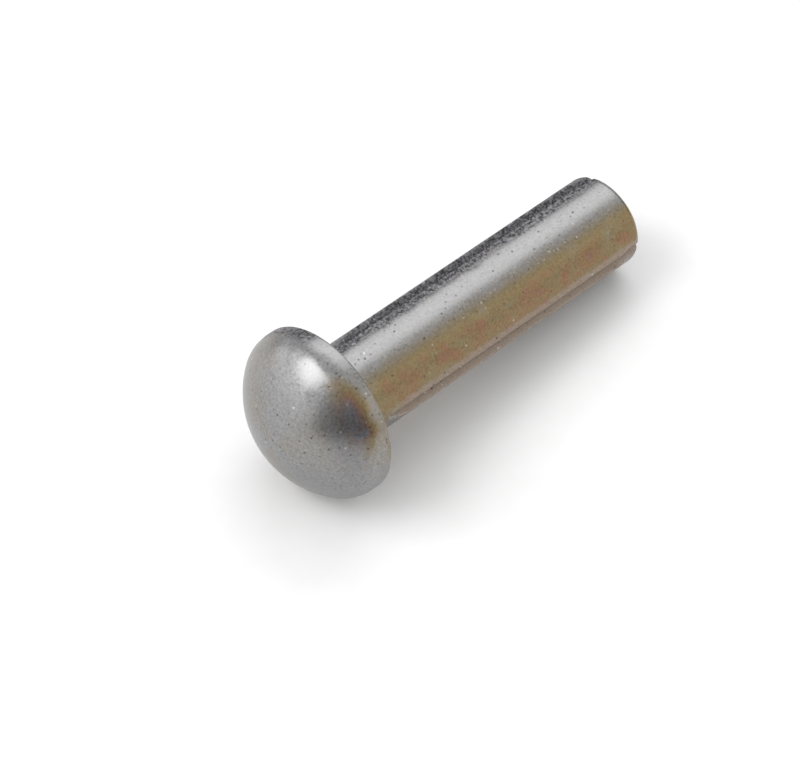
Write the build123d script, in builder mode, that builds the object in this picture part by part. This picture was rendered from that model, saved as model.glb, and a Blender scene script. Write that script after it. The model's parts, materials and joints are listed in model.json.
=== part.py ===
from build123d import *
from math import acos, asin, atan2, cos, degrees, hypot, radians, sin, sqrt
import os

# A round-head grooved drive pin, cold-headed in one piece from steel wire, in millimetres.
# Three grooves are swaged along its shank. They raise lips that grip when the pin is driven into a plain hole.
# The pin lies as it comes to rest on a table: on the rim of its head and the edge of its tip.

# Head: a spherical dome over a short straight rim, flat underneath
head_diameter = 5.5
head_height = 2.2
rim_height = 0.6
rim_round = 1.0
seat_round = 0.08

# Shank, from the seat face under the head to the flat tip
shank_diameter = 3.0
shank_length = 12.0
neck_fillet = 0.3
tip_round = 0.25

# Grooves, with the run-out that the round swaging tool leaves at the head end
groove_count = 3
groove_width = 0.46
groove_depth = 0.32
groove_root_round = 0.06
groove_start = 2.0
groove_tool_radius = 1.6
groove_turn = 29.0

# Lips raised along both edges of each groove, and the plain pilot left at the tip
lips_height = 0.1
lips_angle = 28.0
lips_fade = 0.6
pilot_length = 0.5

head_radius = head_diameter / 2
shank_radius = shank_diameter / 2
lips_radius = shank_radius + lips_height
dome_rise = head_height - rim_height
dome_radius = (head_radius**2 + dome_rise**2) / (2 * dome_rise)

# Resting pose. The round edge under the rim and the round edge of the tip both touch the table,
# so the axis drops towards the tip by the slope of the line that is tangent to both.
seat_edge_radius = head_radius - seat_round
tip_edge_radius = shank_radius - tip_round
edge_gap = shank_length - tip_round + seat_round
edge_rise = seat_edge_radius - tip_edge_radius
rest_tilt = atan2(edge_rise, edge_gap) + asin((seat_round - tip_round) / hypot(edge_gap, edge_rise))

# The seat's centre, with the table at height 0 and the pin's length centred on the origin
seat_height = seat_round + seat_edge_radius * cos(rest_tilt) - seat_round * sin(rest_tilt)
dome_reach = (head_height - dome_radius) * cos(rest_tilt) + dome_radius
tip_reach = (shank_length - tip_round) * cos(rest_tilt) + tip_edge_radius * sin(rest_tilt) + tip_round
seat_centre = ((dome_reach - tip_reach) / 2, 0, seat_height)

towards_head = (-cos(rest_tilt), 0, sin(rest_tilt))
upwards = (sin(rest_tilt), 0, cos(rest_tilt))

# In the section plane, x points up and y points to the back, so angles count from the top of the shank.
# Each groove has its own copy of that plane, turned until x points along the middle of the groove.
pin_axis = Axis(seat_centre, towards_head)
section_plane = Plane(origin=seat_centre, x_dir=upwards, z_dir=towards_head)
groove_planes = [
    section_plane.moved(Rotation(0, 0, groove_turn + place * 360 / groove_count))
    for place in range(groove_count)
]

# The profile is drawn on the plain shank between two grooves, so the seam of the turned form crosses no groove.
# There x is the distance from the axis, and y runs from the seat towards the head.
seam_plane = section_plane.moved(Rotation(0, 0, groove_turn + 3 / 8 * 360 / groove_count))
profile_plane = Plane(origin=seat_centre, x_dir=seam_plane.x_dir, z_dir=-seam_plane.y_dir)

# The turned form: dome, rim, seat, neck, shank and tip
dome_top = (0, head_height)
rim_corner = (head_radius, rim_height)
seat_corner = (head_radius, 0)
neck_corner = (shank_radius, 0)
tip_corner = (shank_radius, -shank_length)
tip_centre = (0, -shank_length)
corner_rounds = [
    (rim_corner, rim_round),
    (seat_corner, seat_round),
    (neck_corner, neck_fillet),
    (tip_corner, tip_round),
]

with BuildSketch(profile_plane) as blank_profile:
    with BuildLine():
        RadiusArc(dome_top, rim_corner, dome_radius)
        Polyline(rim_corner, seat_corner, neck_corner, tip_corner, tip_centre, dome_top)
    make_face()
    for corner, radius in corner_rounds:
        fillet(blank_profile.vertices().sort_by_distance(corner)[0], radius)

# One groove points up in its own section and is then turned about the axis.
# A single swell carries both lips: it rises from the shank on each side to the crests where the groove cuts it.
groove_root = shank_radius - groove_depth
half_width = groove_width / 2
crest = (sqrt(lips_radius**2 - half_width**2), half_width)
lip_foot = (shank_radius * cos(radians(lips_angle / 2)), shank_radius * sin(radians(lips_angle / 2)))
far_lip_foot = (lip_foot[0], -lip_foot[1])

# The groove's tool is twice as tall as the groove, so its flanks pass clear of the lips
tool_top = (2 * crest[0] - groove_root, 2 * half_width)
far_tool_top = (tool_top[0], -tool_top[1])
tool_lift = degrees(acos(1 - (lips_radius - groove_root) / groove_tool_radius))
runout_length = groove_tool_radius * sin(acos(1 - groove_depth / groove_tool_radius))

# The lips fade in over the run-out and fade out again before the pilot
lips_from = groove_start - runout_length
lips_to = shank_length - pilot_length

with BuildSketch(profile_plane) as lips_limit:
    with BuildLine():
        Polyline(
            (0, -lips_from),
            (shank_radius, -lips_from),
            (lips_radius, -groove_start),
            (lips_radius, lips_fade - lips_to),
            (shank_radius, -lips_to),
            (0, -lips_to),
            close=True,
        )
    make_face()

with BuildPart() as lips:
    for groove_plane in groove_planes:
        with BuildSketch(groove_plane.offset(-lips_to)):
            with BuildLine():
                ThreePointArc(lip_foot, crest, far_lip_foot)
                Line(far_lip_foot, lip_foot)
            make_face()
        extrude(amount=lips_to - lips_from)
    revolve(lips_limit.sketch, axis=pin_axis, mode=Mode.INTERSECT)

with BuildPart() as grooved_pin:
    revolve(blank_profile.sketch, axis=pin_axis)
    add(lips.part)
    for groove_plane in groove_planes:
        start_plane = groove_plane.offset(-groove_start)
        with BuildSketch(start_plane) as groove_profile:
            with BuildLine():
                Polyline((groove_root, 0), tool_top, far_tool_top, close=True)
            make_face()
            fillet(groove_profile.vertices().sort_by_distance((groove_root, 0))[0], groove_root_round)
        extrude(amount=-shank_length, mode=Mode.SUBTRACT)
        tool_centre = start_plane.from_local_coords(Vector(groove_root + groove_tool_radius, 0, 0))
        tool_axis = Axis(tool_centre, start_plane.y_dir)
        revolve(groove_profile.sketch, axis=tool_axis, revolution_arc=tool_lift, mode=Mode.SUBTRACT)

os.makedirs("parts", exist_ok=True)
grooved_pin.part.label = "grooved_pin"
export_step(grooved_pin.part, "parts/grooved_pin.step")
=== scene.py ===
# %% [markdown]
# # A round-head grooved drive pin
#
# This lesson dresses one small fastener: a steel pin about 14 mm long, with a domed head and three
# grooves pressed along its shank. The pin is driven into a plain drilled hole, where the metal pushed up
# beside the grooves grips the wall. We start from the measured model, which fixes where the pin lies and
# how big it is.

# %% Load the measured model
import json
import math

import bpy
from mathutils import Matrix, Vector


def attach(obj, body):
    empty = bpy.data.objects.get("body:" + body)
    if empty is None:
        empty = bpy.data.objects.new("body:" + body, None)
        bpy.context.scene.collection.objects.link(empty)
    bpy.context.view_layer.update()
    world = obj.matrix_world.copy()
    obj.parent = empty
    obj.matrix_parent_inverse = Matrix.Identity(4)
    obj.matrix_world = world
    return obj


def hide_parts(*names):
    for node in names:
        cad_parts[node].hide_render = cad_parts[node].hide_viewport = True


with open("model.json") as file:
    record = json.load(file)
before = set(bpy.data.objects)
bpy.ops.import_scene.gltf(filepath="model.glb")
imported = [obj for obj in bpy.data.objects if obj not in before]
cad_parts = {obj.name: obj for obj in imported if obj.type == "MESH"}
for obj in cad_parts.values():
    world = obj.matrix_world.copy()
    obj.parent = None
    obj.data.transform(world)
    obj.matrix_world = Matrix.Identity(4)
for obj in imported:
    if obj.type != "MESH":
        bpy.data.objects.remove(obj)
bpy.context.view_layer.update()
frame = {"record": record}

# %% [markdown]
# Blender works in metres and this pin is drawn in millimetres, so every size below is multiplied by `MM`
# when it reaches Blender. The measured model also says where the flat face under the head is, and which
# way the pin points from there. We read both instead of writing them a second time.

# %% Read where the pin lies
MM = 0.001

mounts = {mount["name"]: mount for mount in frame["record"]["mounts"]}
seat_place = mounts["head_seat"]["pos_m"]
along_pin = Vector(mounts["grooved_shank"]["axis"])
rest_tilt = math.atan2(-along_pin.z, along_pin.x)

# The seat's mount is measured beside the shank, and the seat's middle is straight across from it on the axis
seat_centre = Vector((seat_place[0], 0, seat_place[2]))
print("seat centre in mm:", [round(place / MM, 3) for place in seat_centre])
print("the pin leans", round(math.degrees(rest_tilt), 2), "degrees towards its tip")

# %% [markdown]
# ## One helper for every node
#
# Geometry and materials are both built from nodes here. One function adds a node, applies its settings
# and fills its inputs in order. A node or an output is linked, and anything else is typed in as a value.
# Two groups of settings come up so often that they get a name: `SOFT` makes a Map Range ease in and out,
# and `RGBA` makes a Mix node mix colours, which it takes at its places 6 and 7 and gives at its place 2.

# %% The node helper
SOFT = {"interpolation_type": "SMOOTHSTEP"}
RGBA = {"data_type": "RGBA"}


def add(tree, kind, *values, named=None, **settings):
    """Adds a node, applies its settings, and fills its inputs by order or by name."""
    node = tree.nodes.new(kind)
    for setting, choice in settings.items():
        setattr(node, setting, choice)
    for socket, value in [*enumerate(values), *(named or {}).items()]:
        if value is None:
            continue
        if isinstance(value, bpy.types.Node):
            value = value.outputs[0]
        if isinstance(value, bpy.types.NodeSocket):
            tree.links.new(value, node.inputs[socket])
        else:
            node.inputs[socket].default_value = value
    return node


def linear(hex_colour):
    """Turns an sRGB hex colour such as "#a0a0a0" into the linear colour that Blender mixes."""
    parts = [int(hex_colour[place : place + 2], 16) / 255 for place in (1, 3, 5)]
    return [part / 12.92 if part <= 0.04045 else ((part + 0.055) / 1.055) ** 2.4 for part in parts] + [1]


print("middle grey in linear light:", round(linear("#808080")[0], 3))

# %% [markdown]
# ## The half profile
#
# The real pin starts as round wire. A cold-heading machine upsets one end into a dome, so everything but
# the grooves is a shape of revolution. It could be a stack of primitives, or a lathe profile that is
# turned round. The profile is the better way, because each rounding is then a true arc that runs smoothly
# into its neighbours. A point of the profile is its distance from the axis, and its distance from the seat
# towards the tip.

# %% Sizes of the turned form, in millimetres
HEAD_RADIUS = 2.75
HEAD_HEIGHT = 2.2
RIM_HEIGHT = 0.6
RIM_ROUND = 1.0
SEAT_ROUND = 0.08
SHANK_RADIUS = 1.5
SHANK_LENGTH = 12.0
NECK_FILLET = 0.3
TIP_ROUND = 0.25

ROW_SPACING = 0.06
CORNER_SPACING = 0.03


def arc(centre, radius, first, last):
    """Points of an arc without the last one. Angles are in degrees from the head's side of the centre."""
    length = radius * math.radians(abs(last - first))
    steps = math.ceil(length / min(ROW_SPACING, CORNER_SPACING + radius / 100))
    turns = [math.radians(first + (last - first) * step / steps) for step in range(steps)]
    return [(centre[0] + radius * math.sin(turn), centre[1] - radius * math.cos(turn)) for turn in turns]


def straight(first, last):
    """Points of a straight stretch without the last one."""
    steps = math.ceil(math.dist(first, last) / ROW_SPACING)
    shares = [step / steps for step in range(steps)]
    return [tuple(a + (b - a) * share for a, b in zip(first, last)) for share in shares]


print("the whole pin is", HEAD_HEIGHT + SHANK_LENGTH, "mm long")

# %% Draw the profile from the top of the dome to the middle of the tip
dome_rise = HEAD_HEIGHT - RIM_HEIGHT
dome_radius = (HEAD_RADIUS**2 + dome_rise**2) / (2 * dome_rise)
dome_centre = (0, dome_radius - HEAD_HEIGHT)

# The rim's rounding touches the dome from inside, so its centre is one radius in from both dome and rim
rim_round_reach = dome_radius - RIM_ROUND
rim_round_place = HEAD_RADIUS - RIM_ROUND
rim_round_along = dome_centre[1] - math.sqrt(rim_round_reach**2 - rim_round_place**2)
dome_end = math.degrees(math.asin(rim_round_place / rim_round_reach))
tip_flat_radius = SHANK_RADIUS - TIP_ROUND

profile = [
    *arc(dome_centre, dome_radius, 0, dome_end),
    *arc((rim_round_place, rim_round_along), RIM_ROUND, dome_end, 90),
    *straight((HEAD_RADIUS, rim_round_along), (HEAD_RADIUS, -SEAT_ROUND)),
    *arc((HEAD_RADIUS - SEAT_ROUND, -SEAT_ROUND), SEAT_ROUND, 90, 180),
    *straight((HEAD_RADIUS - SEAT_ROUND, 0), (SHANK_RADIUS + NECK_FILLET, 0)),
    *arc((SHANK_RADIUS + NECK_FILLET, NECK_FILLET), NECK_FILLET, 0, -90),
    *straight((SHANK_RADIUS, NECK_FILLET), (SHANK_RADIUS, SHANK_LENGTH - TIP_ROUND)),
    *arc((tip_flat_radius, SHANK_LENGTH - TIP_ROUND), TIP_ROUND, 90, 180),
    *straight((tip_flat_radius, SHANK_LENGTH), (0, SHANK_LENGTH)),
    (0, SHANK_LENGTH),
]

profile_curve = bpy.data.curves.new("half_profile", "CURVE")
profile_curve.dimensions = "3D"
spline = profile_curve.splines.new("POLY")
spline.points.add(len(profile) - 1)
for point, (radius, along) in zip(spline.points, profile):
    point.co = (radius * MM, along * MM, 0, 1)

profile_object = bpy.data.objects.new("half_profile", profile_curve)
bpy.context.scene.collection.objects.link(profile_object)
print("rows in the profile:", len(profile))

# %% [markdown]
# ## Turn the profile and press the grooves
#
# Three hard wheels roll along the shank and press a groove each. The metal that they move has nowhere to
# go but up, so it stands as a low lip on both sides of every groove. Cutting grooves with booleans would
# leave ragged shading, so this tree moves the points of one even skin instead, just as the wheels move the
# metal.
#
# A grid holds the skin. Its rows follow the profile and its columns go round the axis. Each column belongs
# to the nearest groove, so one set of rules shapes all of them, and another number of grooves is one
# changed input.

# %% Sizes of the grooves and of the skin
groove_sizes = {
    "Grooves": ("NodeSocketInt", 3),
    "First Groove": ("NodeSocketFloat", math.radians(29)),
    "Groove Half Width": ("NodeSocketFloat", 0.23 * MM),
    "Groove Depth": ("NodeSocketFloat", 0.32 * MM),
    "Root Rounding": ("NodeSocketFloat", 0.034 * MM),
    "Groove Start": ("NodeSocketFloat", 2.0 * MM),
    "Wheel Radius": ("NodeSocketFloat", 1.6 * MM),
    "Lip Height": ("NodeSocketFloat", 0.1 * MM),
    "Lip Half Angle": ("NodeSocketFloat", math.radians(14)),
    "Lip Run-In": ("NodeSocketFloat", 0.96 * MM),
    "Lip Fade": ("NodeSocketFloat", 0.6 * MM),
    "Lip Rounding": ("NodeSocketFloat", 0.035 * MM),
    "Pilot Length": ("NodeSocketFloat", 0.5 * MM),
}
skin_sizes = {
    "Columns": ("NodeSocketInt", 288),
    "Shank Radius": ("NodeSocketFloat", SHANK_RADIUS * MM),
    "Shank Length": ("NodeSocketFloat", SHANK_LENGTH * MM),
    "Tip Flat Radius": ("NodeSocketFloat", tip_flat_radius * MM),
    "Seat Centre": ("NodeSocketVector", seat_centre),
    "Rest Tilt": ("NodeSocketFloat", rest_tilt),
    "Waviness": ("NodeSocketFloat", 0.006 * MM),
    "Dent Depth": ("NodeSocketFloat", 0.012 * MM),
    "Seed": ("NodeSocketFloat", 7.0),
    "Finish": ("NodeSocketMaterial", None),
}

pin_tree = bpy.data.node_groups.new("pressed_pin", "GeometryNodeTree")
pin_tree.is_modifier = True
pin_tree.interface.new_socket("Profile", in_out="INPUT", socket_type="NodeSocketGeometry")
pin_tree.interface.new_socket("Pin", in_out="OUTPUT", socket_type="NodeSocketGeometry")
for size_name, (socket_type, _) in {**groove_sizes, **skin_sizes}.items():
    pin_tree.interface.new_socket(size_name, in_out="INPUT", socket_type=socket_type)

size = add(pin_tree, "NodeGroupInput").outputs
print("inputs of the tree:", len(groove_sizes) + len(skin_sizes))

# %% [markdown]
# The grid's points are numbered down each column, so the remainder after dividing by the number of rows is
# the row, and the whole part is the column. Columns are gathered near the grooves, where the form is
# finest, by pulling every angle towards its groove with a sine.

# %% Give every point of the grid its row and its turn
profile_size = add(pin_tree, "GeometryNodeAttributeDomainSize", size["Profile"], component="CURVE")
rows = profile_size.outputs["Point Count"]
last_column = add(pin_tree, "ShaderNodeMath", size["Columns"], 1, operation="ADD")
grid = add(pin_tree, "GeometryNodeMeshGrid", 1, 1, last_column, rows)
index = add(pin_tree, "GeometryNodeInputIndex")
row = add(pin_tree, "ShaderNodeMath", index, rows, operation="FLOORED_MODULO")
column_place = add(pin_tree, "ShaderNodeMath", index, rows, operation="DIVIDE")
column = add(pin_tree, "ShaderNodeMath", column_place, operation="FLOOR")

profile_place = add(pin_tree, "GeometryNodeInputPosition")
row_point = add(
    pin_tree, "GeometryNodeSampleIndex", size["Profile"], profile_place, row, data_type="FLOAT_VECTOR"
)
row_place = add(pin_tree, "ShaderNodeSeparateXYZ", row_point)
row_radius, row_along = row_place.outputs["X"], row_place.outputs["Y"]

GATHERING = 0.6
column_share = add(pin_tree, "ShaderNodeMath", column, size["Columns"], operation="DIVIDE")
even_turn = add(pin_tree, "ShaderNodeMath", column_share, math.tau, operation="MULTIPLY")
groove_wave = add(pin_tree, "ShaderNodeMath", even_turn, size["Grooves"], operation="MULTIPLY")
pull = add(pin_tree, "ShaderNodeMath", groove_wave, operation="SINE")
pull_share = add(pin_tree, "ShaderNodeMath", GATHERING, size["Grooves"], operation="DIVIDE")
pulled = add(pin_tree, "ShaderNodeMath", pull, pull_share, operation="MULTIPLY")
turn = add(pin_tree, "ShaderNodeMath", even_turn, pulled, operation="SUBTRACT")
print("nodes so far:", len(pin_tree.nodes))

# %% [markdown]
# Angles are measured from the nearest groove. Inside one groove's own section, `up` points out along the
# middle of the groove and `side` points across it. The points of the flat tip keep in step with the tip's
# edge, so that the grooves notch the end face as well.

# %% Measure each point from its nearest groove
sector = add(pin_tree, "ShaderNodeMath", math.tau, size["Grooves"], operation="DIVIDE")
half_sector = add(pin_tree, "ShaderNodeMath", sector, 2, operation="DIVIDE")
shifted_turn = add(pin_tree, "ShaderNodeMath", turn, half_sector, operation="ADD")
groove_centre = add(pin_tree, "ShaderNodeMath", shifted_turn, sector, operation="SNAP")
from_groove = add(pin_tree, "ShaderNodeMath", turn, groove_centre, operation="SUBTRACT")

contour_radius = add(pin_tree, "ShaderNodeMath", row_radius, size["Tip Flat Radius"], operation="MAXIMUM")
contour_share = add(pin_tree, "ShaderNodeMath", row_radius, contour_radius, operation="DIVIDE")
cosine = add(pin_tree, "ShaderNodeMath", from_groove, operation="COSINE")
sine = add(pin_tree, "ShaderNodeMath", from_groove, operation="SINE")
up = add(pin_tree, "ShaderNodeMath", contour_radius, cosine, operation="MULTIPLY")
side = add(pin_tree, "ShaderNodeMath", contour_radius, sine, operation="MULTIPLY")
side_squared = add(pin_tree, "ShaderNodeMath", side, 2, operation="POWER")
print("nodes so far:", len(pin_tree.nodes))

# %% [markdown]
# Both lips of a groove are one low swell that the groove then splits. The swell is an arc through the two
# feet on the shank and the crests at the groove's edges. It rises over the run-out and fades out again
# before the pilot, the short plain end that finds the hole.

# %% Shape the swell across a groove
lip_crest_radius = add(pin_tree, "ShaderNodeMath", size["Shank Radius"], size["Lip Height"], operation="ADD")
crest_squared = add(pin_tree, "ShaderNodeMath", lip_crest_radius, 2, operation="POWER")
edge_squared = add(pin_tree, "ShaderNodeMath", size["Groove Half Width"], 2, operation="POWER")
crest_up_squared = add(pin_tree, "ShaderNodeMath", crest_squared, edge_squared, operation="SUBTRACT")
crest_up = add(pin_tree, "ShaderNodeMath", crest_up_squared, operation="SQRT")
foot_cosine = add(pin_tree, "ShaderNodeMath", size["Lip Half Angle"], operation="COSINE")
foot_up = add(pin_tree, "ShaderNodeMath", size["Shank Radius"], foot_cosine, operation="MULTIPLY")

# The swell's arc has its centre on the groove's middle line, as far from the crest as from the foot
shank_squared = add(pin_tree, "ShaderNodeMath", size["Shank Radius"], 2, operation="POWER")
squares_apart = add(pin_tree, "ShaderNodeMath", crest_squared, shank_squared, operation="SUBTRACT")
ups_apart = add(pin_tree, "ShaderNodeMath", crest_up, foot_up, operation="SUBTRACT")
twice_centre = add(pin_tree, "ShaderNodeMath", squares_apart, ups_apart, operation="DIVIDE")
swell_centre = add(pin_tree, "ShaderNodeMath", twice_centre, 2, operation="DIVIDE")
to_crest = add(pin_tree, "ShaderNodeMath", crest_up, swell_centre, operation="SUBTRACT")
to_crest_squared = add(pin_tree, "ShaderNodeMath", to_crest, 2, operation="POWER")
swell_squared = add(pin_tree, "ShaderNodeMath", to_crest_squared, edge_squared, operation="ADD")
swell_left = add(pin_tree, "ShaderNodeMath", swell_squared, side_squared, operation="SUBTRACT")
swell_rise = add(pin_tree, "ShaderNodeMath", swell_left, operation="SQRT")
swell_up = add(pin_tree, "ShaderNodeMath", swell_centre, swell_rise, operation="ADD")
print("nodes so far:", len(pin_tree.nodes))

# %% Let the lips rise and fade along the shank
lips_start = add(pin_tree, "ShaderNodeMath", size["Groove Start"], size["Lip Run-In"], operation="SUBTRACT")
lips_end = add(pin_tree, "ShaderNodeMath", size["Shank Length"], size["Pilot Length"], operation="SUBTRACT")
fade_start = add(pin_tree, "ShaderNodeMath", lips_end, size["Lip Fade"], operation="SUBTRACT")
fade_in = add(pin_tree, "ShaderNodeMapRange", row_along, lips_start, size["Groove Start"], **SOFT)
fade_out = add(pin_tree, "ShaderNodeMapRange", row_along, fade_start, lips_end, 1, 0, **SOFT)
fade = add(pin_tree, "ShaderNodeMath", fade_in, fade_out, operation="MULTIPLY")
lip_rise = add(pin_tree, "ShaderNodeMath", size["Lip Height"], fade, operation="MULTIPLY")
lip_limit = add(pin_tree, "ShaderNodeMath", size["Shank Radius"], lip_rise, operation="ADD")
lip_limit_squared = add(pin_tree, "ShaderNodeMath", lip_limit, 2, operation="POWER")
limit_left = add(pin_tree, "ShaderNodeMath", lip_limit_squared, side_squared, operation="SUBTRACT")
limit_up = add(pin_tree, "ShaderNodeMath", limit_left, operation="SQRT")
swell_and_limit = add(pin_tree, "ShaderNodeMath", swell_up, limit_up, operation="MINIMUM")
in_swell = add(pin_tree, "ShaderNodeMath", swell_left, 0, operation="GREATER_THAN")
lip_up = add(pin_tree, "ShaderNodeMath", swell_and_limit, in_swell, operation="MULTIPLY")

# A lip never stands above the tip's rounding or the flat tip
on_tip = add(pin_tree, "ShaderNodeMath", row_along, lips_end, operation="GREATER_THAN")
raised = add(pin_tree, "ShaderNodeMath", up, lip_up, operation="MAXIMUM")
raised_up = add(pin_tree, "ShaderNodeMix", on_tip, named={2: raised, 3: up})
print("nodes so far:", len(pin_tree.nodes))

# %% [markdown]
# The wheel's edge is a V with a rounded point, so the groove's floor is a hyperbola across the groove.
# Towards the head the wheel lifts out along its own radius, which leaves the curved run-out seen on real
# pins. A smooth minimum joins the floor to the lips, and its distance rounds the crests as rolling does.

# %% Press the grooves
root_radius = add(
    pin_tree, "ShaderNodeMath", size["Shank Radius"], size["Groove Depth"], operation="SUBTRACT"
)
wheel_centre = add(pin_tree, "ShaderNodeMath", root_radius, size["Wheel Radius"], operation="ADD")
edge_rise = add(pin_tree, "ShaderNodeMath", crest_up, root_radius, operation="SUBTRACT")
flank_slope = add(pin_tree, "ShaderNodeMath", edge_rise, size["Groove Half Width"], operation="DIVIDE")
flank = add(pin_tree, "ShaderNodeMath", side, flank_slope, operation="MULTIPLY")
flank_squared = add(pin_tree, "ShaderNodeMath", flank, 2, operation="POWER")
rounding_rise = add(pin_tree, "ShaderNodeMath", size["Root Rounding"], flank_slope, operation="MULTIPLY")
rounding_squared = add(pin_tree, "ShaderNodeMath", rounding_rise, 2, operation="POWER")
floor_squared = add(pin_tree, "ShaderNodeMath", flank_squared, rounding_squared, operation="ADD")
floor_rise = add(pin_tree, "ShaderNodeMath", floor_squared, operation="SQRT")

wheel_left = add(pin_tree, "ShaderNodeMath", size["Wheel Radius"], floor_rise, operation="SUBTRACT")
wheel_reach = add(pin_tree, "ShaderNodeMath", wheel_left, 0, operation="MAXIMUM")
wheel_reach_squared = add(pin_tree, "ShaderNodeMath", wheel_reach, 2, operation="POWER")
before_start = add(pin_tree, "ShaderNodeMath", size["Groove Start"], row_along, operation="SUBTRACT")
lift_along = add(pin_tree, "ShaderNodeMath", before_start, 0, operation="MAXIMUM")
lift_squared = add(pin_tree, "ShaderNodeMath", lift_along, 2, operation="POWER")
reach_left = add(pin_tree, "ShaderNodeMath", wheel_reach_squared, lift_squared, operation="SUBTRACT")
reach_up = add(pin_tree, "ShaderNodeMath", reach_left, operation="SQRT")
wheel_floor = add(pin_tree, "ShaderNodeMath", wheel_centre, reach_up, operation="SUBTRACT")
pressed_up = add(
    pin_tree, "ShaderNodeMath", raised_up, wheel_floor, size["Lip Rounding"], operation="SMOOTH_MIN"
)

# Only the shank is pressed: the head and the neck's fillet keep their turned form
on_shank = add(pin_tree, "ShaderNodeMath", row_along, NECK_FILLET * MM, operation="GREATER_THAN")
shaped_up = add(pin_tree, "ShaderNodeMix", on_shank, named={2: up, 3: pressed_up})
print("nodes so far:", len(pin_tree.nodes))

# %% [markdown]
# The finish has to know where the wheels ran. It could guess that from the shape, but the tree knows it
# exactly, so it keeps a mark on every point: a half on the lips, and up to one on the groove's floor.

# %% Mark the rolled zone
ZONE_EDGE = 0.04 * MM

pressed_down = add(pin_tree, "ShaderNodeMath", raised_up, pressed_up, operation="SUBTRACT")
shank_pressed = add(pin_tree, "ShaderNodeMath", pressed_down, on_shank, operation="MULTIPLY")
pressed_share = add(pin_tree, "ShaderNodeMath", shank_pressed, size["Groove Depth"], operation="DIVIDE")
pressed_share.use_clamp = True

foot_sine = add(pin_tree, "ShaderNodeMath", size["Lip Half Angle"], operation="SINE")
foot_side = add(pin_tree, "ShaderNodeMath", size["Shank Radius"], foot_sine, operation="MULTIPLY")
outer_side = add(pin_tree, "ShaderNodeMath", foot_side, ZONE_EDGE, operation="ADD")
inner_side = add(pin_tree, "ShaderNodeMath", foot_side, ZONE_EDGE, operation="SUBTRACT")
side_distance = add(pin_tree, "ShaderNodeMath", side, operation="ABSOLUTE")
across_zone = add(pin_tree, "ShaderNodeMapRange", side_distance, outer_side, inner_side)
zone = add(pin_tree, "ShaderNodeMath", across_zone, fade_in, operation="MULTIPLY")
both_marks = add(pin_tree, "ShaderNodeMath", zone, pressed_share, operation="ADD")
rolled_share = add(pin_tree, "ShaderNodeMath", both_marks, 0.5, operation="MULTIPLY")
print("nodes so far:", len(pin_tree.nodes))

# %% [markdown]
# The two distances in the groove's section turn back into a point on the pin. The first groove stands 29
# degrees behind the top of the shank. After that the seam and the two poles are merged, which closes the
# skin, and the faces are flipped, because the way the grid is wrapped leaves them looking inwards.

# %% Put every point in its place and close the skin
SEAM_GAP = 0.0001 * MM

end_up = add(pin_tree, "ShaderNodeMath", shaped_up, contour_share, operation="MULTIPLY")
end_side = add(pin_tree, "ShaderNodeMath", side, contour_share, operation="MULTIPLY")
section_point = add(pin_tree, "ShaderNodeCombineXYZ", row_along, end_side, end_up)
groove_turn = add(pin_tree, "ShaderNodeMath", groove_centre, size["First Groove"], operation="ADD")
back_turn = add(pin_tree, "ShaderNodeMath", groove_turn, -1, operation="MULTIPLY")
pin_point = add(
    pin_tree, "ShaderNodeVectorRotate", section_point, named={"Angle": back_turn}, rotation_type="X_AXIS"
)

skin = add(pin_tree, "GeometryNodeSetPosition", grid, None, pin_point)
marked = add(
    pin_tree, "GeometryNodeStoreNamedAttribute", skin, None, "rolled", rolled_share, data_type="FLOAT"
)
merged = add(pin_tree, "GeometryNodeMergeByDistance", marked, None, SEAM_GAP)
closed = add(pin_tree, "GeometryNodeFlipFaces", merged)
print("nodes so far:", len(pin_tree.nodes))

# %% [markdown]
# A headed pin isn't perfect. The wire waves by a few thousandths of a millimetre, and tumbling with other
# pins leaves shallow dents. A bump in the material could fake both, but moved points also catch the light
# at the outline. They only move inwards, so the pin never outgrows its measured size.

# %% Add waviness and tumbling dents
WAVE_SIZE = 1.6 * MM
DENT_SPACING = 0.9 * MM
DENT_REACH = 0.34
DENTED_SHARE = 0.55

skin_place = add(pin_tree, "GeometryNodeInputPosition")
waves = add(
    pin_tree,
    "ShaderNodeTexNoise",
    named={
        "Vector": skin_place,
        "W": size["Seed"],
        "Scale": 1 / WAVE_SIZE,
        "Detail": 2.0,
        "Roughness": 0.45,
    },
    noise_dimensions="4D",
)
wave_drop = add(pin_tree, "ShaderNodeMath", waves, size["Waviness"], operation="MULTIPLY")
dents = add(
    pin_tree,
    "ShaderNodeTexVoronoi",
    named={"Vector": skin_place, "W": size["Seed"], "Scale": 1 / DENT_SPACING},
    voronoi_dimensions="4D",
)
dent_distance = dents.outputs["Distance"]
dent_slope = add(pin_tree, "ShaderNodeMapRange", dent_distance, 0.0, DENT_REACH, 1.0, 0.0, **SOFT)
dent_chance = add(pin_tree, "ShaderNodeSeparateXYZ", dents.outputs["Color"])
dented = add(pin_tree, "ShaderNodeMath", dent_chance, DENTED_SHARE, operation="LESS_THAN")
dent_shape = add(pin_tree, "ShaderNodeMath", dent_slope, dented, operation="MULTIPLY")
dent_drop = add(pin_tree, "ShaderNodeMath", dent_shape, size["Dent Depth"], operation="MULTIPLY")
drop = add(pin_tree, "ShaderNodeMath", wave_drop, dent_drop, operation="ADD")
inwards = add(pin_tree, "ShaderNodeMath", drop, -1, operation="MULTIPLY")
outward = add(pin_tree, "GeometryNodeInputNormal")
push = add(pin_tree, "ShaderNodeVectorMath", outward, named={"Scale": inwards}, operation="SCALE")
worn = add(pin_tree, "GeometryNodeSetPosition", closed, named={"Offset": push})
print("nodes so far:", len(pin_tree.nodes))

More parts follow.
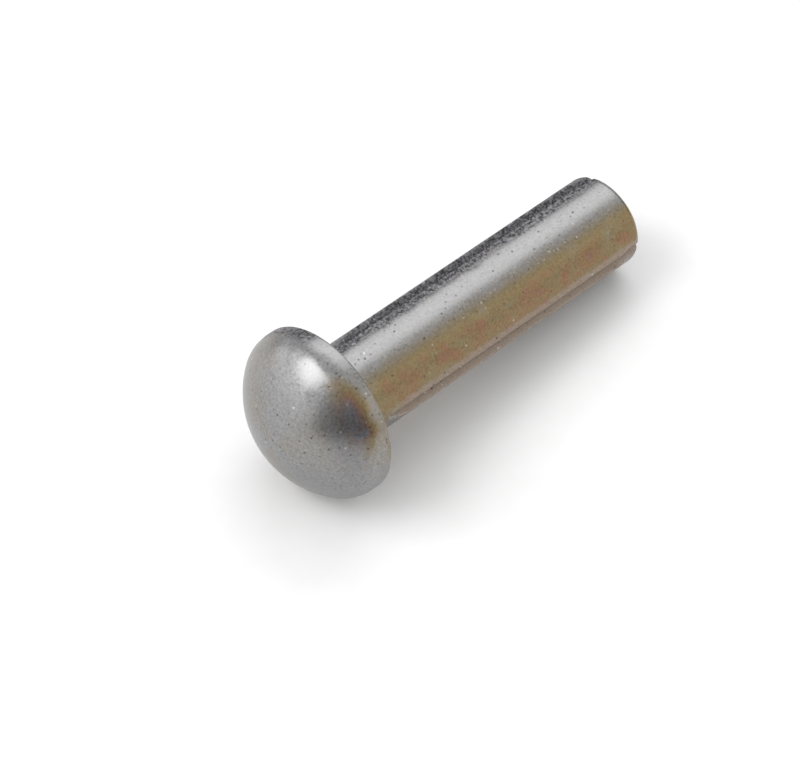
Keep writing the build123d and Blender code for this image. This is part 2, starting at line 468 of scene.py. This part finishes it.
# %% Lay the pin down and finish the tree
lean = add(pin_tree, "ShaderNodeCombineXYZ", 0, size["Rest Tilt"], 0)
lying = add(pin_tree, "GeometryNodeTransform", worn, size["Seat Centre"], lean)
smooth = add(pin_tree, "GeometryNodeSetShadeSmooth", lying)
real = add(pin_tree, "GeometryNodeRealizeInstances", smooth)
finished = add(pin_tree, "GeometryNodeSetMaterial", real, None, size["Finish"])
add(pin_tree, "NodeGroupOutput", finished)
print("nodes in the finished tree:", len(pin_tree.nodes))

# %% [markdown]
# ## Zinc plate with a thin yellow film
#
# The pin is mild steel with a few thousandths of a millimetre of bright zinc, dipped in a yellow passivate.
# To the eye it is a soft satin metal, grey on the dome and golden along the shank. The film is so thin that
# its colour changes with its thickness: neutral where it is thinnest, then straw, gold, copper, violet and
# slate. It drained off the dome and stayed on the shank. One thick drop of film on the dome's edge tints it
# copper, and its darker colour there is also a painted dark reflection, which a grey patch beside it carries
# on.
#
# An image could hold these marks, but it would need a UV map and would blur up close. Noise and a little
# arithmetic need neither. Patterns are measured in millimetres in the pin's own frame, with x along the pin.

# %% Start the finish in the pin's own millimetres
finish = bpy.data.materials.new("satin_zinc_plate_with_yellow_film")
finish.use_nodes = True
zinc = finish.node_tree
zinc.nodes.clear()

object_place = add(zinc, "ShaderNodeTexCoord").outputs["Object"]
place = add(
    zinc,
    "ShaderNodeMapping",
    object_place,
    seat_centre,
    (0, rest_tilt, 0),
    (MM, MM, MM),
    vector_type="TEXTURE",
)
place_parts = add(zinc, "ShaderNodeSeparateXYZ", place).outputs
along, back, top = place_parts["X"], place_parts["Y"], place_parts["Z"]
print("nodes in the finish so far:", len(zinc.nodes))

# %% [markdown]
# The film's thickness is a number from 0 to 1. Wide bands run along the shank where it drained between the
# grooves. A noise with blots of under a millimetre bends those bands and mottles them. Two ovals, on the
# dome's edge and beside it, place the drop, which is film and painted dark reflection, and the grey painted
# dark reflection beside it.

# %% Work out how thick the film is in the bands
BLOT_SIZE = 0.75
BAND_CENTRE = math.radians(-59)
BAND_COUNT = 3
BAND_BEND = 0.6
FILM_BETWEEN, FILM_IN_BAND = 0.02, 0.54
DOME_FILM = 0.2
FULL_FILM_ALONG = 1.5

blots = add(
    zinc,
    "ShaderNodeTexNoise",
    named={"Vector": place, "Scale": 1 / BLOT_SIZE, "Detail": 4.0, "Roughness": 0.68, "Distortion": 0.3},
)
centred_blots = add(zinc, "ShaderNodeMath", blots, 0.5, operation="SUBTRACT")
turn_round = add(zinc, "ShaderNodeMath", back, top, operation="ARCTAN2")
bent_turn = add(zinc, "ShaderNodeMath", centred_blots, BAND_BEND, turn_round, operation="MULTIPLY_ADD")
from_band = add(zinc, "ShaderNodeMath", bent_turn, BAND_CENTRE, operation="SUBTRACT")
band_angle = add(zinc, "ShaderNodeMath", from_band, BAND_COUNT, operation="MULTIPLY")
band_wave = add(zinc, "ShaderNodeMath", band_angle, operation="COSINE")
band = add(zinc, "ShaderNodeMapRange", band_wave, -0.8, 0.9, FILM_BETWEEN, FILM_IN_BAND, **SOFT)
banded_share = add(zinc, "ShaderNodeMapRange", along, -0.9, FULL_FILM_ALONG, DOME_FILM, 1.0, **SOFT)
banded_side = add(zinc, "ShaderNodeMath", band, banded_share, operation="MULTIPLY")

# The flat end of the tip is plain zinc: no band, painted shade or rolled mark reaches round its edge
END_FROM, END_TO = SHANK_LENGTH - 0.12, SHANK_LENGTH - 0.01
off_tip = add(zinc, "ShaderNodeMapRange", along, END_FROM, END_TO, 1.0, 0.0, **SOFT)
banded_film = add(zinc, "ShaderNodeMath", banded_side, off_tip, operation="MULTIPLY")
print("nodes in the finish so far:", len(zinc.nodes))


# %% Add the drop with its painted dark reflection and mottle the film
def oval(middle, length, middle_turn, width):
    """The distance from an oval's middle, which is 1 at its rim. Its turns are in degrees."""
    first_turn, last_turn = math.radians(middle_turn), math.radians(middle_turn + width)
    gap = add(zinc, "ShaderNodeMapRange", along, middle, middle + length, clamp=False)
    turn_gap = add(zinc, "ShaderNodeMapRange", bent_turn, first_turn, last_turn, clamp=False)
    gaps = add(zinc, "ShaderNodeCombineXYZ", gap, turn_gap)
    return add(zinc, "ShaderNodeVectorMath", gaps, operation="LENGTH").outputs["Value"]


DROP_AND_REFLECTION_FILM = 0.82
BLOT_CONTRAST, FILM_LEVEL = 2.2, 1.04

# The drop's copper and slate are film colour and also a painted dark reflection on the dome's edge
drop_and_reflection_distance = oval(middle=-0.82, length=0.62, middle_turn=-49, width=38)
drop_and_reflection_film = add(zinc, "ShaderNodeMapRange", drop_and_reflection_distance, 0.15, 1.05, DROP_AND_REFLECTION_FILM, 0.0, **SOFT)
film_sum = add(zinc, "ShaderNodeMath", banded_film, drop_and_reflection_film, operation="ADD")

# The blots thicken and thin the film that is there, and add none where it has drained off
blot_share = add(
    zinc, "ShaderNodeMath", centred_blots, BLOT_CONTRAST, FILM_LEVEL, operation="MULTIPLY_ADD"
)
film = add(zinc, "ShaderNodeMath", film_sum, blot_share, operation="MULTIPLY")
film.use_clamp = True
print("nodes in the finish so far:", len(zinc.nodes))

# %% Colour the film by its thickness
film_colours = {
    0.0: "#919192",
    0.16: "#918d87",
    0.32: "#8c816e",
    0.46: "#87795b",
    0.58: "#897457",
    0.7: "#8d6e55",
    0.84: "#886e66",
    1.0: "#7c7c7e",
}
film_ramp = add(zinc, "ShaderNodeValToRGB", film)
stops = film_ramp.color_ramp.elements
while len(stops) < len(film_colours):
    stops.new(0.5)
for stop, (position, colour) in zip(stops, film_colours.items()):
    stop.position = position
    stop.color = linear(colour)
print("colours in the film:", len(film_colours))

# %% [markdown]
# The wheels break the yellow film, so the grooves and their lips are a plain mauve-grey. The tree marked how
# much each point was rolled, so the finish follows the grooves exactly. Beside the drop, a painted dark
# reflection greys the dome.

# %% Paint a dark reflection on the dome beside the drop and grey the rolled metal
DARK_REFLECTION_GREY = linear("#7e7e81")
DARK_REFLECTION_STRENGTH = 0.8
ROLLED_GREY = linear("#998b7f")
ROLLED_STRENGTH = 1.7

# Painted dark reflection: the dome beside the drop is greyed in the colour itself
dark_reflection_distance = oval(middle=-1.13, length=0.5, middle_turn=-58, width=40)
dark_reflection = add(zinc, "ShaderNodeMapRange", dark_reflection_distance, 0.3, 1.3, DARK_REFLECTION_STRENGTH, 0.0, **SOFT)
with_dark_reflection = add(zinc, "ShaderNodeMix", dark_reflection, named={6: film_ramp, 7: DARK_REFLECTION_GREY}, **RGBA).outputs[2]

rolled_mark = add(zinc, "ShaderNodeAttribute", attribute_name="rolled").outputs["Fac"]
rolled = add(zinc, "ShaderNodeMath", rolled_mark, off_tip, operation="MULTIPLY")
greyed = add(zinc, "ShaderNodeMath", rolled, ROLLED_STRENGTH, operation="MULTIPLY")
greyed.use_clamp = True
rolled_colour = add(zinc, "ShaderNodeMix", greyed, named={6: with_dark_reflection, 7: ROLLED_GREY}, **RGBA).outputs[2]
print("nodes in the finish so far:", len(zinc.nodes))

# %% [markdown]
# The pin's back is dull. On the shank and the rim there, but not on the dome, painted shade darkens it with
# fine spots of two greys. It could be a plain dark colour, but the spots give the painted shade a grain like
# the plate's.

# %% Find where shade is painted on the back
SHADE_BEND = 0.25
SHADE_FROM, SHADE_FULL = math.radians(7), math.radians(17)
SHADE_THIN, SHADE_TO = math.radians(60), math.radians(105)
DOME_EDGE, RIM_EDGE = -0.75, -0.3
SHADE_GRAIN = 0.09

# Painted shade: this mask darkens the back of the shank and the rim in the colour itself
shade_turn = add(zinc, "ShaderNodeMath", centred_blots, SHADE_BEND, turn_round, operation="MULTIPLY_ADD")
shade_start = add(zinc, "ShaderNodeMapRange", shade_turn, SHADE_FROM, SHADE_FULL, **SOFT)
shade_end = add(zinc, "ShaderNodeMapRange", shade_turn, SHADE_THIN, SHADE_TO, 1.0, 0.0)
off_dome = add(zinc, "ShaderNodeMapRange", along, DOME_EDGE, RIM_EDGE, **SOFT)
shaded_turn = add(zinc, "ShaderNodeMath", shade_start, shade_end, operation="MULTIPLY")
off_ends = add(zinc, "ShaderNodeMath", off_dome, off_tip, operation="MULTIPLY")
painted_shade_part = add(zinc, "ShaderNodeMath", shaded_turn, off_ends, operation="MULTIPLY")

shade_spots = add(
    zinc,
    "ShaderNodeTexNoise",
    named={"Vector": place, "Scale": 1 / SHADE_GRAIN, "Detail": 3.0, "Roughness": 0.7},
)
shade_depth = add(zinc, "ShaderNodeMapRange", shade_spots, 0.4, 0.6)
shade_greys = {6: linear("#8f8e91"), 7: linear("#454447")}
spotted_shade = add(zinc, "ShaderNodeMix", shade_depth, named=shade_greys, **RGBA).outputs[2]
print("nodes in the finish so far:", len(zinc.nodes))

# %% [markdown]
# Up close the plate is grainy. Zinc crystals give it a fine grain, and tiny pits show as dark specks, whose
# darkness is painted shade in the pits. Bright specks are painted glints of crystal faces catching the
# light, most of them along the edges of the film and of the painted shade. Each is a pattern of its own
# scale, drawn about twice as coarse as it really is, because the real one is finer than a pixel of the
# render.

# %% Grain over the metal
GRAIN_SIZE = 0.08

grain = add(
    zinc,
    "ShaderNodeTexNoise",
    named={"Vector": place, "Scale": 1 / GRAIN_SIZE, "Detail": 2.0, "Roughness": 0.6},
)
grain_shade = add(zinc, "ShaderNodeMapRange", grain, 0.25, 0.75, 0.76, 1.22)
grained = add(zinc, "ShaderNodeVectorMath", rolled_colour, named={"Scale": grain_shade}, operation="SCALE")
print("nodes in the finish so far:", len(zinc.nodes))


# %% Pits with painted shade, and painted glints
def specks(spacing, first, radius, chance):
    """Scattered round specks as a mask. Only a chosen share of the cells that hold them has one."""
    moved = add(zinc, "ShaderNodeVectorMath", place, (first, first, first), operation="ADD")
    cells = add(zinc, "ShaderNodeTexVoronoi", named={"Vector": moved, "Scale": 1 / spacing})
    distance = cells.outputs["Distance"]
    spot = add(zinc, "ShaderNodeMapRange", distance, radius / spacing, 0.0, **SOFT)
    draw = add(zinc, "ShaderNodeSeparateXYZ", cells.outputs["Color"])
    depth = add(zinc, "ShaderNodeMapRange", draw, 0.0, chance, 1.0, 0.0)
    return add(zinc, "ShaderNodeMath", spot, depth, operation="MULTIPLY")


on_film_edge = add(zinc, "ShaderNodeMath", film, 0.3, 0.14, operation="COMPARE")
on_shade_edge = add(zinc, "ShaderNodeMath", shade_start, 0.4, 0.35, operation="COMPARE")
on_edge = add(zinc, "ShaderNodeMath", on_film_edge, on_shade_edge, operation="MAXIMUM")
pit_chance = add(zinc, "ShaderNodeMapRange", on_edge, 0.0, 1.0, 0.5, 0.8)
glint_chance = add(zinc, "ShaderNodeMapRange", on_edge, 0.0, 1.0, 0.2, 1.0)

# Painted shade: the pits are darkened in the colour as well as bumped
pits_with_painted_shade = specks(spacing=0.2, first=3.0, radius=0.055, chance=pit_chance)
# Painted glints: bright specks in the colour, not reflections of a lamp
painted_glints = specks(spacing=0.22, first=11.0, radius=0.05, chance=glint_chance)

# The painted shade on the back lies over the grained metal, the pits' painted shade over that, and the
# painted glints over everything
base_colour = grained
for share, colour in ((painted_shade_part, spotted_shade), (pits_with_painted_shade, linear("#3d352e")), (painted_glints, linear("#dad6ce"))):
    base_colour = add(zinc, "ShaderNodeMix", share, named={6: base_colour, 7: colour}, **RGBA).outputs[2]
print("nodes in the finish so far:", len(zinc.nodes))

# %% [markdown]
# Tumbled zinc is neither a mirror nor matt, so its roughness lies near 0.3 and follows the grain. The back
# under the painted shade and the rolled metal are duller. The pits and the grain are far too shallow for the
# mesh, and a bump of their real height is enough.

# %% Build the surface
GRAIN_ROUGH_LOW, GRAIN_ROUGH_HIGH = 0.27, 0.38
SHADE_ROUGH = 0.16
ROLLED_ROUGH = 0.2
PIT_DEPTH = 0.006
GRAIN_HEIGHT = 0.0012

grain_rough = add(zinc, "ShaderNodeMapRange", grain, 0.3, 0.7, GRAIN_ROUGH_LOW, GRAIN_ROUGH_HIGH)
dull_rough = add(zinc, "ShaderNodeMath", painted_shade_part, SHADE_ROUGH, grain_rough, operation="MULTIPLY_ADD")
roughness = add(zinc, "ShaderNodeMath", rolled, ROLLED_ROUGH, dull_rough, operation="MULTIPLY_ADD")

grain_height = add(zinc, "ShaderNodeMath", grain, GRAIN_HEIGHT, operation="MULTIPLY")
surface_height = add(zinc, "ShaderNodeMath", pits_with_painted_shade, -PIT_DEPTH, grain_height, operation="MULTIPLY_ADD")
bumped = add(zinc, "ShaderNodeBump", named={"Strength": 1.0, "Distance": MM, "Height": surface_height})
plate = add(
    zinc,
    "ShaderNodeBsdfPrincipled",
    named={"Base Color": base_colour, "Metallic": 1.0, "Roughness": roughness, "Normal": bumped},
)
add(zinc, "ShaderNodeOutputMaterial", plate)
print("nodes in the finish:", len(zinc.nodes))

# %% [markdown]
# ## Make the pin
#
# The tree is a modifier on the profile's curve. Its inputs are set by each socket's own identifier, before
# Blender evaluates the object for the first time. The result becomes a plain mesh, and curve and modifier
# are removed.

# %% Run the tree and keep its mesh
pressing = profile_object.modifiers.new("pressing", "NODES")
pressing.node_group = pin_tree
tree_inputs = [item for item in pin_tree.interface.items_tree if item.in_out == "INPUT"]
identifiers = {item.name: item.identifier for item in tree_inputs}
for size_name, (_, value) in {**groove_sizes, **skin_sizes}.items():
    pressing[identifiers[size_name]] = finish if size_name == "Finish" else value

evaluated = profile_object.evaluated_get(bpy.context.evaluated_depsgraph_get())
pin_mesh = bpy.data.meshes.new_from_object(evaluated)
pin_mesh.name = "drive_pin"
drive_pin = bpy.data.objects.new("drive_pin", pin_mesh)
bpy.context.scene.collection.objects.link(drive_pin)
bpy.data.objects.remove(profile_object)
print("triangles in the pin:", sum(len(face.vertices) - 2 for face in pin_mesh.polygons))

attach(drive_pin, "root")
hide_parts("grooved_pin")

# %% [markdown]
# ## A small studio
#
# Metal shows its surroundings more than itself. Two softboxes above give the bright spot on the dome and
# the long streak on the shank, three weaker fills light the sides, and the pale table fills the shadows
# from below. The table is matt white card: to the eye a flat white without gloss, with faint fibres.

# %% The table
TABLE_SIDE = 1.2
FIBRE_SIZE = 0.8 * MM

half_side = TABLE_SIDE / 2
table_corners = [(x * half_side, y * half_side, 0) for x, y in ((-1, -1), (1, -1), (1, 1), (-1, 1))]
table_mesh = bpy.data.meshes.new("table_top")
table_mesh.from_pydata(table_corners, [], [(0, 1, 2, 3)])
table = bpy.data.objects.new("table_top", table_mesh)
bpy.context.scene.collection.objects.link(table)

paper = bpy.data.materials.new("matt_white_card")
paper.use_nodes = True
card = paper.node_tree
card.nodes.clear()
card_place = add(card, "ShaderNodeTexCoord").outputs["Object"]
fibre_look = {"Vector": card_place, "Scale": 1 / FIBRE_SIZE, "Detail": 2.0}
fibres = add(card, "ShaderNodeTexNoise", named=fibre_look)
card_shade = add(card, "ShaderNodeMapRange", fibres, 0.3, 0.7, 0.985, 1.0)
card_colour = add(
    card, "ShaderNodeVectorMath", linear("#f9f9f9")[:3], named={"Scale": card_shade}, operation="SCALE"
)
card_surface = add(card, "ShaderNodeBsdfPrincipled", named={"Base Color": card_colour, "Roughness": 0.9})
add(card, "ShaderNodeOutputMaterial", card_surface)
table_mesh.materials.append(paper)
print("the table is", TABLE_SIDE, "m square")

# %% [markdown]
# Each softbox is a rectangular lamp that faces the pin. Its radiance is 1 where it would look as bright as
# white paper, so the numbers can be compared with colours.

# %% The softboxes
SOFTBOX_DISTANCE = 0.3
pin_middle = Vector((0, 0, 0.0025))

# Direction from the pin, width and height in metres, and radiance
softboxes = {
    "head_softbox": ((-0.52, 0.36, 0.75), 0.19, 0.15, 3.5),
    "shank_softbox": ((0.6, 0.38, 0.71), 0.25, 0.2, 1.45),
    "left_fill": ((-0.8, 0.55, 0.26), 0.5, 0.16, 1.0),
    "right_fill": ((0.7, -0.75, 0.3), 0.3, 0.2, 0.65),
    "back_fill": ((-0.05, 0.95, 0.3), 0.25, 0.1, 0.7),
}
for lamp_name, (lamp_direction, width, height, radiance) in softboxes.items():
    lamp = bpy.data.lights.new(lamp_name, "AREA")
    lamp.shape = "RECTANGLE"
    lamp.size, lamp.size_y = width, height
    lamp.energy = radiance * math.pi * width * height
    holder = bpy.data.objects.new(lamp_name, lamp)
    holder.visible_camera = False
    away = Vector(lamp_direction).normalized()
    holder.location = pin_middle + away * SOFTBOX_DISTANCE
    holder.rotation_euler = (-away).to_track_quat("-Z", "Y").to_euler()
    bpy.context.scene.collection.objects.link(holder)
print("softboxes:", len(softboxes))

# %% [markdown]
# The room behind the softboxes is dim at the horizon and brighter above. It is darkest through a doorway
# in front and to the left, and the dome shows that as a soft dark patch.

# %% The room
HORIZON_BRIGHTNESS = 0.26
CEILING_BRIGHTNESS = 0.85
DOORWAY = (-0.5, -0.78, 0.37)
DOORWAY_EDGE, DOORWAY_CORE = math.cos(math.radians(40)), math.cos(math.radians(12))
DOORWAY_SHADE = 0.56

world = bpy.data.worlds.new("dim_room")
bpy.context.scene.world = world
world.use_nodes = True
room = world.node_tree
room.nodes.clear()
direction = add(room, "ShaderNodeTexCoord").outputs["Generated"]
sky_height = add(room, "ShaderNodeSeparateXYZ", direction).outputs["Z"]
room_shade = add(
    room, "ShaderNodeMapRange", sky_height, 0.1, 0.7, HORIZON_BRIGHTNESS, CEILING_BRIGHTNESS
)
door_angle = add(room, "ShaderNodeVectorMath", direction, DOORWAY, operation="DOT_PRODUCT")
facing_door = door_angle.outputs["Value"]
door_shade = add(
    room, "ShaderNodeMapRange", facing_door, DOORWAY_EDGE, DOORWAY_CORE, 1.0, DOORWAY_SHADE, **SOFT
)
brightness = add(room, "ShaderNodeMath", room_shade, door_shade, operation="MULTIPLY")
room_light = add(room, "ShaderNodeBackground", linear("#ffffff"), brightness)
add(room, "ShaderNodeOutputWorld", room_light)
print("nodes in the room:", len(room.nodes))

# %% [markdown]
# ## The camera
#
# The camera looks down on the pin from the head's side, from about 12 cm away with a long lens. Its place
# is worked out from the direction it looks along, so the numbers can be read as a photographer would set
# them.

# %% Place the camera
CAMERA_AZIMUTH = math.radians(-44.6)
CAMERA_ELEVATION = math.radians(51.98)
CAMERA_DISTANCE = 0.12331
AIM = Vector((-2.974, -1.095, 3.192)) * MM

camera_data = bpy.data.cameras.new("bench_camera")
camera_data.sensor_width = 36
camera_data.lens = 189
camera_data.clip_start = 0.01
camera = bpy.data.objects.new("bench_camera", camera_data)
level = math.cos(CAMERA_ELEVATION)
towards_camera = Vector(
    (math.sin(CAMERA_AZIMUTH) * level, -math.cos(CAMERA_AZIMUTH) * level, math.sin(CAMERA_ELEVATION))
)
camera.location = AIM + towards_camera * CAMERA_DISTANCE
camera.rotation_euler = (-towards_camera).to_track_quat("-Z", "Y").to_euler()
bpy.context.scene.collection.objects.link(camera)
bpy.context.scene.camera = camera
bpy.context.scene.view_settings.view_transform = "Standard"
print("camera height above the table in mm:", round(camera.location.z / MM, 1))
